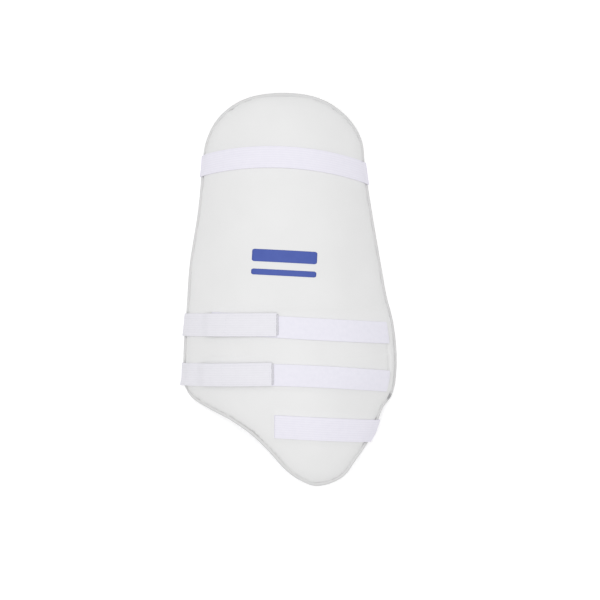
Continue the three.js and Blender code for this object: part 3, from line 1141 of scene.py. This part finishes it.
@dataclass
class Piping:
    """The cord in its bias strip all round the seam, a little slimmer than the room it has."""

    form: GuardForm
    stations: int = 900
    around: int = 18
    slimmer: float = 0.15 * MM
    unevenness: float = 0.12 * MM
    unevenness_step: float = 11 * MM
    weld: float = 0.01 * MM
    # Where painted shade darkens the piping at the wing's lower corner, and how far it reaches
    corner_shade_place: tuple[float, float] = (103.2 * MM, -111.6 * MM)
    corner_shade_core: float = 1.5 * MM
    corner_shade_reach: float = 5 * MM

    def build(self) -> Piece:
        """Makes the piping as a closed tube that follows the seam."""
        form = self.form
        outline = spaced(np.vstack([form.outline, form.outline[:1]]), self.stations + 1)
        ring = outline[:-1]
        before, after = np.roll(ring, 1, axis=0), np.roll(ring, -1, axis=0)
        place, out, up = form.seam_frames(before, ring, after)
        centre = place + out * (form.piping_offset + self.slimmer)
        closed = np.vstack([centre, centre[:1]])
        length = path_length(closed)
        run = np.linspace(0, length, self.stations, endpoint=False)
        uneven = self.unevenness * np.abs(wander(run[:, None], self.unevenness_step, Drift.CORD))
        radius = form.piping_radius - self.slimmer - uneven
        turns = np.linspace(0, 2 * math.pi, self.around, endpoint=False)
        tube = (
            centre[None]
            + (np.cos(turns)[:, None] * radius)[..., None] * out
            + (np.sin(turns)[:, None] * radius)[..., None] * up
        )
        tube = np.concatenate([tube, tube[:1]])
        tube = np.concatenate([tube, tube[:, :1]], axis=1)
        mesh = new_bmesh()
        grid_sheet(mesh, tube, (length, 2 * math.pi * form.piping_radius))
        bmesh.ops.remove_doubles(mesh, verts=mesh.verts, dist=self.weld)
        piece = add_piece("edge_piping_cord", mesh)
        points = coordinates(piece.data)
        # Marks the painted shade at the wing's lower corner
        gap = np.hypot(*(points[:, :2] - self.corner_shade_place).T)
        corner_shade = 1 - smoothstep(gap, self.corner_shade_core, self.corner_shade_reach)
        set_attribute(piece.data, "corner_shade", corner_shade)
        return piece

    def dress(self, piece: Piece) -> None:
        """Gives the piping its cloth."""
        finish_piece(piece, BiasPipingCloth(), Slot.PIPING, "edge_piping")


@dataclass
class Band:
    """A flat band laid round the guard: the lines that make it, its thickness and its edges."""

    form: GuardForm
    name: str
    node: str
    line: BandLine
    width: float
    finish: Finish
    slot: Slot
    thickness: float = 1.4 * MM
    rib: float = 2.35 * MM
    rib_height: float = 0.03 * MM
    lines_in_a_rib: int = 4
    step: float = 1.1 * MM
    edge_round: float = 0.35 * MM
    edge_steps: int = 2
    edge_angle: float = math.radians(50)
    section_step: float = 0.4 * MM
    weld: float = 0.01 * MM
    pile: float = 0.0
    pile_step: float = 1.7 * MM

    @property
    def shares(self) -> Array:
        """Where the band's lines lie, from -1/2 to 1/2 of its width."""
        return np.linspace(-0.5, 0.5, self.lines_in_a_rib * round(self.width / self.rib) + 1)

    def taut(
        self,
        y_of: Line,
        lift: Line,
        start: float = -math.inf,
        end: float = math.inf,
        turns: tuple[float, float] = (DOWN_LEFT, DOWN_RIGHT),
    ) -> Array:
        """The band's middle along one line over the face.

        Args:
            y_of: The line in plan, as y over x.
            lift: The height of the band's underside over what carries it, over x.
            start: The x where a band that starts on the face does so.
            end: The x where a band that ends on the face does so.
            turns: The ways that the line faces at its two ends.

        Returns:
            Rows of x, y, z from left to right.
        """
        section = self.form.taut_section(y_of, start, *turns)
        section = spaced(section, round(path_length(section) / self.section_step))
        tangent = unit(np.gradient(section, axis=0))
        normal = np.stack([-tangent[:, 1], tangent[:, 0]], axis=1)
        offset = lift(section[:, 0]) + self.thickness / 2
        path = section + normal * offset[:, None]
        leftmost = int(path[:, 0].argmin())
        kept = (np.arange(len(path)) <= leftmost) | (section[:, 0] < end)
        path = path[kept]
        return np.column_stack([path[:, 0], y_of(path[:, 0]), path[:, 1]])

    def behind(self, y_of: Line, *stops: tuple[float, float]) -> Array:
        """The band's middle along one line behind the pad, through stops of x and underside z."""
        x, z = np.array(stops).T
        return np.column_stack([x, y_of(x), z + self.thickness / 2])

    def path(self, shift: float) -> Array:
        """The band's middle along the line that lies a shift off its centre line."""
        raise NotImplementedError

    def level(self, height: float) -> Line:
        """The same height over x all the way along."""
        return lambda x: np.full_like(x, height)

    def moved(self, line: BandLine, shift: float) -> Line:
        """A centre line, moved across the band by a shift."""
        centre = self.form.centre_line(line)
        return lambda x: centre(x) + shift

    @cached_property
    def lay(self) -> Array:
        """The band's middle surface, as lines across it of points along it."""
        paths = [self.path(share * self.width) for share in self.shares]
        middle = paths[len(paths) // 2]
        count = round(path_length(middle) / self.step)
        return np.array([spaced(path, count) for path in paths])

    @property
    def length(self) -> float:
        """The band's length along its centre line."""
        return path_length(self.lay[len(self.lay) // 2])

    @cached_property
    def normals(self) -> Array:
        """The way out of the band's outer face at each point of its middle surface."""
        along = np.gradient(self.lay, axis=1)
        across = np.gradient(self.lay, axis=0)
        return unit(np.cross(along, across))

    def relief(self) -> Array:
        """How far each point stands off the smooth middle surface: its ribs and its pile."""
        across = self.shares[:, None] * self.width
        ribs = self.rib_height * np.cos(across * 2 * math.pi / self.rib)
        relief = np.broadcast_to(ribs, self.lay.shape[:2]).copy()
        if self.pile:
            flat = wander(self.lay.reshape(-1, 3), self.pile_step, Drift.PILE)
            relief += self.pile * flat.reshape(relief.shape)
        return relief

    def build(self) -> Piece:
        """Makes the band in place."""
        points = self.lay + self.normals * self.relief()[..., None]
        mesh = new_bmesh()
        grid_sheet(mesh, points, (self.length, self.width))
        bmesh.ops.remove_doubles(mesh, verts=mesh.verts, dist=self.weld)
        piece = add_piece(self.name, mesh)
        wall = piece.modifiers.new("thickness", "SOLIDIFY")
        wall.thickness = self.thickness
        wall.offset = 0
        edges = piece.modifiers.new("edges", "BEVEL")
        edges.width = self.edge_round
        edges.segments = self.edge_steps
        edges.limit_method = "ANGLE"
        edges.angle_limit = self.edge_angle
        apply_modifiers(piece)
        return piece

    def dress(self, piece: Piece) -> None:
        """Gives the band its finish."""
        finish_piece(piece, self.finish, self.slot, self.node)


@dataclass
class TopStrap(Band):
    """The band over the round end: one loop round the whole pad."""

    def path(self, shift: float) -> Array:
        """The band's middle along one of its lines, once round from the left edge."""
        y_of = self.moved(self.line, shift)
        over = self.taut(y_of, self.level(self.form.clearance))
        back = self.behind(y_of, (over[-1, 0], 0.0), (over[0, 0], 0.0))
        return np.vstack([over, back, over[:1]])


@dataclass
class LoopStrip(Band):
    """Loop tape on the face, from under its tab to just inside the right edge's seam."""

    tab_end: float = 0.0
    under_tab: float = 66 * MM
    seam_inset: float = 5 * MM

    @property
    def start(self) -> float:
        """The x where the tape starts on the face."""
        return self.tab_end * self.form.pad_width / 2 - self.under_tab

    def path(self, shift: float) -> Array:
        """The tape's middle along one of its lines, from its start on the face to its end."""
        y_of = self.moved(self.line, shift)
        end = self.form.line_end(Side.RIGHT, y_of) - self.seam_inset
        return self.taut(y_of, self.level(self.form.clearance), start=self.start, end=end)


@dataclass
class TabbedStrap(Band):
    """An elastic strap from under the right edge, behind the pad and round to its tab."""

    back_line: BandLine = BandLine(0, 0)
    tape: LoopStrip | None = None
    hook_thickness: float = 0.0
    climb: float = 12 * MM
    flare: float = 0.0
    flare_reach: float = 16 * MM

    @property
    def end(self) -> float:
        """The x where the tab ends on the face."""
        return self.tape.tab_end * self.form.pad_width / 2

    def lift(self, x: Array) -> Array:
        """The height of the strap's underside: on the pad, then over the loop and hook tapes."""
        gap = self.form.clearance
        full = 3 * gap + self.tape.thickness + self.hook_thickness
        start = self.tape.start
        return gap + (full - gap) * smoothstep(x, start - self.climb, start - gap)

    def path(self, shift: float) -> Array:
        """The strap's middle along one of its lines, from its sewn end to its tab."""
        form = self.form
        y_of, back_y = self.moved(self.line, shift), self.moved(self.back_line, shift)
        left = form.line_end(Side.LEFT, y_of)
        low = max(0.0, -2 * shift / self.width) ** 2
        over = self.taut(y_of, self.lift, end=self.end)
        # The lower edge flares sideways off the left edge, and so stays off the floor
        flared = 1 - smoothstep(over[:, 0], left, left + self.flare_reach)
        over[:, 0] -= self.flare * low * flared
        right = form.line_end(Side.RIGHT, back_y) + form.piping_offset
        back = self.behind(back_y, (right, 0.0), (over[0, 0], 0.0))
        return np.vstack([back[:-1], over])


@dataclass
class HookPatch(Band):
    """Hook tape under a tab, whose edge shows a little past the tab's end."""

    strap: TabbedStrap | None = None
    patch_length: float = 56 * MM
    overhang: float = 1.8 * MM

    def path(self, shift: float) -> Array:
        """The patch's middle along one of its lines."""
        y_of = self.moved(self.line, shift)
        form, end = self.form, self.strap.end + self.overhang
        offset = 2 * form.clearance + self.strap.tape.thickness
        over = self.taut(y_of, self.level(offset), end=end)
        leftmost = int(over[:, 0].argmin())
        face = over[leftmost:]
        return face[face[:, 0] >= end - self.patch_length]


@dataclass
class TongueStrap(Band):
    """The band on the tongue: over its face, round its right edge, to its hollow side."""

    front_end: float = -0.135
    back_from: float = -0.12
    back_to: float = -0.3
    back_points: int = 9
    sewn_gap: float = 0.7 * MM

    def path(self, shift: float) -> Array:
        """The band's middle along one of its lines, from the face to the hollow side."""
        form, half_width = self.form, self.form.pad_width / 2
        y_of = self.moved(self.line, shift)
        start = self.front_end * half_width
        x = np.linspace(self.back_from, self.back_to, self.back_points) * half_width
        y = y_of(x)
        depth = self.sewn_gap + self.thickness / 2
        inner = form.pad_point(x, y, Face.HOLLOW) - form.middle_normal(x, y) * depth
        edge = form.piping_section(Side.RIGHT, y_of)
        corner = edge[edge[:, 1].argmin()]
        slope = math.atan2(inner[0, 2] - corner[1], corner[0] - inner[0, 0])
        over = self.taut(
            y_of,
            self.level(form.clearance),
            start=start,
            turns=(DOWN_LEFT, DOWN_RIGHT - slope),
        )
        return np.vstack([over, inner])


@dataclass
class Stitching:
    """Rows of sewn stitches on the outer face of one band."""

    band: Band
    name: str
    rows: tuple[tuple[float, float, float, float], ...]
    pitch: float = 3.1 * MM
    stitch: float = 2.3 * MM
    thread: float = 0.55 * MM
    sunk: float = 0.1 * MM
    sides: int = 6
    rings: int = 8

    def place(self, along: float, across: float) -> tuple[Vector, Vector]:
        """A point on the band's outer face, and the way out of it.

        Args:
            along: The distance from the band's start, or if below 0 from its end.
            across: The distance from its centre line.

        Returns:
            The point and the way out.
        """
        band = self.band
        if along < 0:
            along += band.length
        column = along / band.length * (band.lay.shape[1] - 1)
        row = (across / band.width + 0.5) * (band.lay.shape[0] - 1)
        low_row, low_column = int(row), int(column)
        row_share, column_share = row - low_row, column - low_column
        rows = [low_row, min(low_row + 1, band.lay.shape[0] - 1)]
        columns = [low_column, min(low_column + 1, band.lay.shape[1] - 1)]

        def blended(table: Array) -> Array:
            """The table's value between its four nearest entries."""
            corners = table[np.ix_(rows, columns)]
            over = corners[0] * (1 - row_share) + corners[1] * row_share
            return over[0] * (1 - column_share) + over[1] * column_share

        outward = Vector(blended(band.normals)).normalized()
        return Vector(blended(band.lay)) + outward * band.thickness / 2, outward

    def build(self) -> Piece:
        """Makes the rows of stitches as one piece."""
        mesh = new_bmesh()
        for from_along, from_across, to_along, to_across in self.rows:
            length = math.hypot(to_along - from_along, to_across - from_across)
            count = max(1, round(length / self.pitch))
            for number in range(count):
                middle = (number + 0.5) / count
                ends = [middle + sign * self.stitch / 2 / length for sign in (-1, 1)]
                points = [
                    self.place(
                        from_along + (to_along - from_along) * share,
                        from_across + (to_across - from_across) * share,
                    )
                    for share in (ends[0], middle, ends[1])
                ]
                way = (points[2][0] - points[0][0]).normalized()
                outward = points[1][1]
                aside = outward.cross(way).normalized()
                turned = Matrix((way, aside, outward)).transposed().to_4x4()
                centre = points[1][0] - outward * self.sunk
                size = Matrix.Diagonal((self.stitch / 2, self.thread / 2, self.thread / 2, 1))
                laid = Matrix.Translation(centre) @ turned @ size
                bmesh.ops.create_uvsphere(
                    mesh,
                    u_segments=self.sides,
                    v_segments=self.rings,
                    radius=1,
                    matrix=laid @ Matrix.Rotation(math.pi / 2, 4, "Y"),
                )
        return add_piece(self.name, mesh)

    def dress(self, piece: Piece) -> None:
        """Gives the stitches their thread."""
        finish_piece(piece, SewingThread(), None)


@dataclass
class PrintedBars:
    """Two plain bars of blue film pressed on the face between the top strap and the tabs."""

    cover: Piece
    centre: tuple[float, float] = (-5.2 * MM, 26.2 * MM)
    width: float = 66 * MM
    heights: tuple[float, float] = (12.5 * MM, 6 * MM)
    gap: float = 7.5 * MM
    slope: float = math.radians(-3)
    corner: float = 2 * MM
    film: float = 0.14 * MM
    step: float = 1.5 * MM
    well_above: float = 1.0

    def bar(self, mesh: BMesh, surface: BVHTree, middle: float, height: float) -> None:
        """Adds one bar with rounded corners, laid on the cover."""
        rows, columns = round(height / self.step) * 2 + 1, round(self.width / self.step) + 1
        v = np.linspace(-height / 2, height / 2, rows)
        inset = np.maximum(0, np.abs(v) - (height / 2 - self.corner))
        reach = self.width / 2 - self.corner + np.sqrt(self.corner**2 - inset**2)
        u = np.linspace(-1, 1, columns)[None, :] * reach[:, None]
        v = np.broadcast_to(v[:, None], u.shape) + middle
        x = self.centre[0] + u * math.cos(self.slope) - v * math.sin(self.slope)
        y = self.centre[1] + u * math.sin(self.slope) + v * math.cos(self.slope)
        points = np.empty((rows, columns, 3))
        for row, column in np.ndindex(rows, columns):
            above = Vector((x[row, column], y[row, column], self.well_above))
            hit, normal, _, _ = surface.ray_cast(above, Vector((0, 0, -1)))
            points[row, column] = hit + normal * self.film
        grid_sheet(mesh, points, (self.width, height))

    def build(self) -> Piece:
        """Makes both bars as one film piece."""
        cover = bmesh.new()
        cover.from_mesh(self.cover.data)
        surface = BVHTree.FromBMesh(cover)
        cover.free()
        mesh = new_bmesh()
        top, low = self.heights
        total = top + self.gap + low
        self.bar(mesh, surface, total / 2 - top / 2, top)
        self.bar(mesh, surface, -total / 2 + low / 2, low)
        piece = add_piece("printed_bars", mesh)
        wall = piece.modifiers.new("film", "SOLIDIFY")
        wall.thickness = self.film
        wall.offset = 0
        apply_modifiers(piece)
        return piece

    def dress(self, piece: Piece) -> None:
        """Gives the bars their film."""
        finish_piece(piece, TransferFilm(), None)


# The studio


@dataclass(frozen=True)
class StudioFloor(Finish):
    """A smooth white board that the studio light burns out almost to plain white."""

    name: str = "white_board"
    colour: str = "#FFFFFF"
    low_tone_and_shade_colour: str = "#FAFAFA"
    roughness: float = 0.9
    sheen: float = 0.0
    specular: float = 0.2
    glow: float = 0.2
    unevenness: float = 1 / 3
    uneven_depth: float = 0.01 * MM

    def pattern(self, tree: Tree, shader: Node) -> None:
        """Adds a faint unevenness and the glow of a lit board."""
        drift = drift_over(tree, object_place(tree), self.unevenness)
        self.surface(tree, shader, drift, self.uneven_depth, drift)
        shader.inputs["Emission Color"].default_value = linear_colour(self.colour)
        shader.inputs["Emission Strength"].default_value = self.glow


@dataclass
class Studio:
    """A pale floor, soft light from above and a camera looking straight down."""

    camera_place: tuple[float, float, float] = (10.3 * MM, -11.1 * MM, 1575 * MM)
    lens: float = 90.0
    sensor: float = 36.0
    floor_size: float = 6.0
    floor_drop: float = 0.3 * MM
    sky: float = 0.53
    softbox_place: tuple[float, float, float] = (-0.1, 0.1, 2.1)
    softbox_size: float = 1.8
    softbox_power: float = 26.5

    def build(self) -> None:
        """Makes the floor, the lights and the camera."""
        mesh = new_bmesh()
        bmesh.ops.create_grid(mesh, x_segments=1, y_segments=1, size=self.floor_size / 2)
        bmesh.ops.translate(mesh, verts=mesh.verts, vec=(0, 0, -self.floor_drop))
        floor = add_piece("studio_floor", mesh)
        floor.data.materials.append(StudioFloor().material())
        self.light()
        world = bpy.data.worlds.new("studio")
        world.use_nodes = True
        background = world.node_tree.nodes["Background"]
        background.inputs["Color"].default_value = linear_colour("#FFFFFF")
        background.inputs["Strength"].default_value = self.sky
        scene = bpy.context.scene
        scene.world = world
        camera = bpy.data.objects.new("camera", bpy.data.cameras.new("camera"))
        camera.data.lens = self.lens
        camera.data.sensor_width = self.sensor
        camera.location = self.camera_place
        scene.collection.objects.link(camera)
        scene.camera = camera
        scene.view_settings.view_transform = "Standard"

    def light(self) -> None:
        """Hangs the square softbox over the guard and turns it down to it."""
        lamp = bpy.data.lights.new("overhead_softbox", "AREA")
        lamp.size = self.softbox_size
        lamp.energy = self.softbox_power
        holder = bpy.data.objects.new("overhead_softbox", lamp)
        holder.location = self.softbox_place
        way = -Vector(self.softbox_place)
        holder.rotation_euler = way.to_track_quat("-Z", "Y").to_euler()
        bpy.context.scene.collection.objects.link(holder)


@dataclass
class ThighGuard:
    """The whole guard."""

    form: GuardForm = field(default_factory=GuardForm)
    top_line: BandLine = BandLine(0.657, 0.62, 0.04)
    tongue_line: BandLine = BandLine(-0.7, -0.74, 0.005)
    upper_lines: RowLines = RowLines(
        BandLine(-0.166, -0.23), BandLine(-0.187, -0.176), BandLine(-0.187, -0.23)
    )
    lower_lines: RowLines = RowLines(
        BandLine(-0.451, -0.486, 0.027), BandLine(-0.448, -0.417), BandLine(-0.448, -0.486)
    )
    upper_tab_end: float = -0.115
    lower_tab_end: float = -0.158
    strap_width: float = 23.5 * MM
    tape_width: float = 22 * MM
    patch_width: float = 21 * MM
    hook_thickness: float = 1 * MM
    pile: float = 0.05 * MM
    stitch_inset: float = 2.2 * MM
    stitched_tab: float = 54 * MM
    stitch_row_gap: float = 4 * MM
    upper_flare: float = 0.5 * MM
    lower_flare: float = 3 * MM
    strap_elastic: WovenElastic = WovenElastic("strap_elastic", "#EBEAF0", "#E1E0E6")

    def elastic(self, kind: type[Band], name: str, node: str, line: BandLine, **more: Any) -> Band:
        """An elastic band of one kind."""
        more = {"finish": WovenElastic(), "slot": Slot.ELASTIC, **more}
        return kind(self.form, name, node, line, **more)

    def tape(self, row: str, line: BandLine, tab_end: float) -> LoopStrip:
        """The loop tape of one row."""
        return LoopStrip(
            self.form,
            f"{row}_loop_tape",
            f"{row}_loop_strip",
            line,
            self.tape_width,
            LoopPile(),
            Slot.LOOP_TAPE,
            rib_height=0.0,
            pile=self.pile,
            tab_end=tab_end,
        )

    def row(self, row: str, lines: RowLines, tab_end: float, flare: float) -> list[Band]:
        """The tape, the strap and the hook patch of one row.

        Args:
            row: The row's name.
            lines: Its centre lines.
            tab_end: Where its tab ends, as a share of half the pad's width.
            flare: How far the strap's lower edge stands off the left edge.

        Returns:
            The three bands, from the pad up.
        """
        tape = self.tape(row, lines.tape, tab_end)
        strap = self.elastic(
            TabbedStrap,
            f"{row}_elastic_strap",
            f"{row}_strap",
            lines.tab,
            width=self.strap_width,
            finish=self.strap_elastic,
            back_line=lines.back,
            tape=tape,
            hook_thickness=self.hook_thickness,
            flare=flare,
        )
        patch = HookPatch(
            self.form,
            f"{row}_hook_tape",
            f"{row}_hook_patch",
            lines.tab,
            self.patch_width,
            HookNylon(),
            Slot.HOOK_TAPE,
            thickness=self.hook_thickness,
            rib_height=0.0,
            strap=strap,
        )
        return [tape, strap, patch]

    def bands(self) -> list[Band]:
        """Every band of the guard."""
        top = self.elastic(
            TopStrap, "top_elastic_strap", "top_strap", self.top_line, width=self.tape_width
        )
        tongue = self.elastic(
            TongueStrap,
            "tongue_elastic_strap",
            "bottom_strap",
            self.tongue_line,
            width=self.strap_width,
        )
        return [
            top,
            *self.row("upper", self.upper_lines, self.upper_tab_end, self.upper_flare),
            *self.row("lower", self.lower_lines, self.lower_tab_end, self.lower_flare),
            tongue,
        ]

    def registers(self, bands: list[Band]) -> tuple[BandRegister, BandRegister]:
        """Where the bands hold the cover's front and its hollow side."""
        front = []
        for band in bands:
            if isinstance(band, HookPatch):
                continue
            start = -self.form.pad_width
            if isinstance(band, LoopStrip):
                start = band.start
            if isinstance(band, TongueStrap):
                start = band.front_end * self.form.pad_width / 2
            front.append((self.form.centre_line(band.line), band.width, start))
        tongue = next(band for band in bands if isinstance(band, TongueStrap))
        hollow = ((self.form.centre_line(tongue.line), tongue.width, -self.form.pad_width),)
        return BandRegister(tuple(front)), BandRegister(hollow)

    def stitching(self, bands: list[Band]) -> list[Stitching]:
        """The stitches that hold the tapes and the band ends."""
        found = []
        inset = self.stitch_inset
        for band in bands:
            half = band.width / 2 - inset
            if isinstance(band, TabbedStrap):
                reach = -self.stitched_tab
                rows = (
                    (-inset, -half, -inset, half),
                    (reach, -half, reach, half),
                    (reach, -half, -inset, -half),
                    (reach, half, -inset, half),
                )
                found.append(Stitching(band, f"{band.node}_tab_stitches", rows))
            if isinstance(band, TongueStrap):
                rows = tuple(
                    (place, -half, place, half) for place in (inset, inset + self.stitch_row_gap)
                )
                found.append(Stitching(band, "tongue_strap_stitches", rows))
        return found

    def build(self) -> None:
        """Makes every piece in order."""
        bands = self.bands()
        shell = PaddedShell(self.form, *self.registers(bands))
        cover = shell.build()
        pieces = [(shell, cover)]
        piping = Piping(self.form)
        pieces.append((piping, piping.build()))
        for part in [*bands, *self.stitching(bands), PrintedBars(cover)]:
            pieces.append((part, part.build()))
        shift = self.frame_shift()
        for part, piece in pieces:
            piece.data.transform(Matrix.Translation(shift))
            part.dress(piece)

    def frame_shift(self) -> Vector:
        """How far the frame's origin lies from the form's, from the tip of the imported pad."""
        packed = (vert.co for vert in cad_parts["thigh_pad"].data.vertices)
        tip = min(packed, key=lambda place: place.y)
        x, y = self.form.tongue_tip
        return tip - Vector((x, y, self.form.middle_height(x, y)))


def main() -> None:
    """Builds the studio and the guard."""
    logging.basicConfig(level=logging.INFO, format="%(relativeCreated)6d ms %(name)s %(message)s")
    Studio().build()
    ThighGuard().build()


if __name__ == "__main__":
    main()
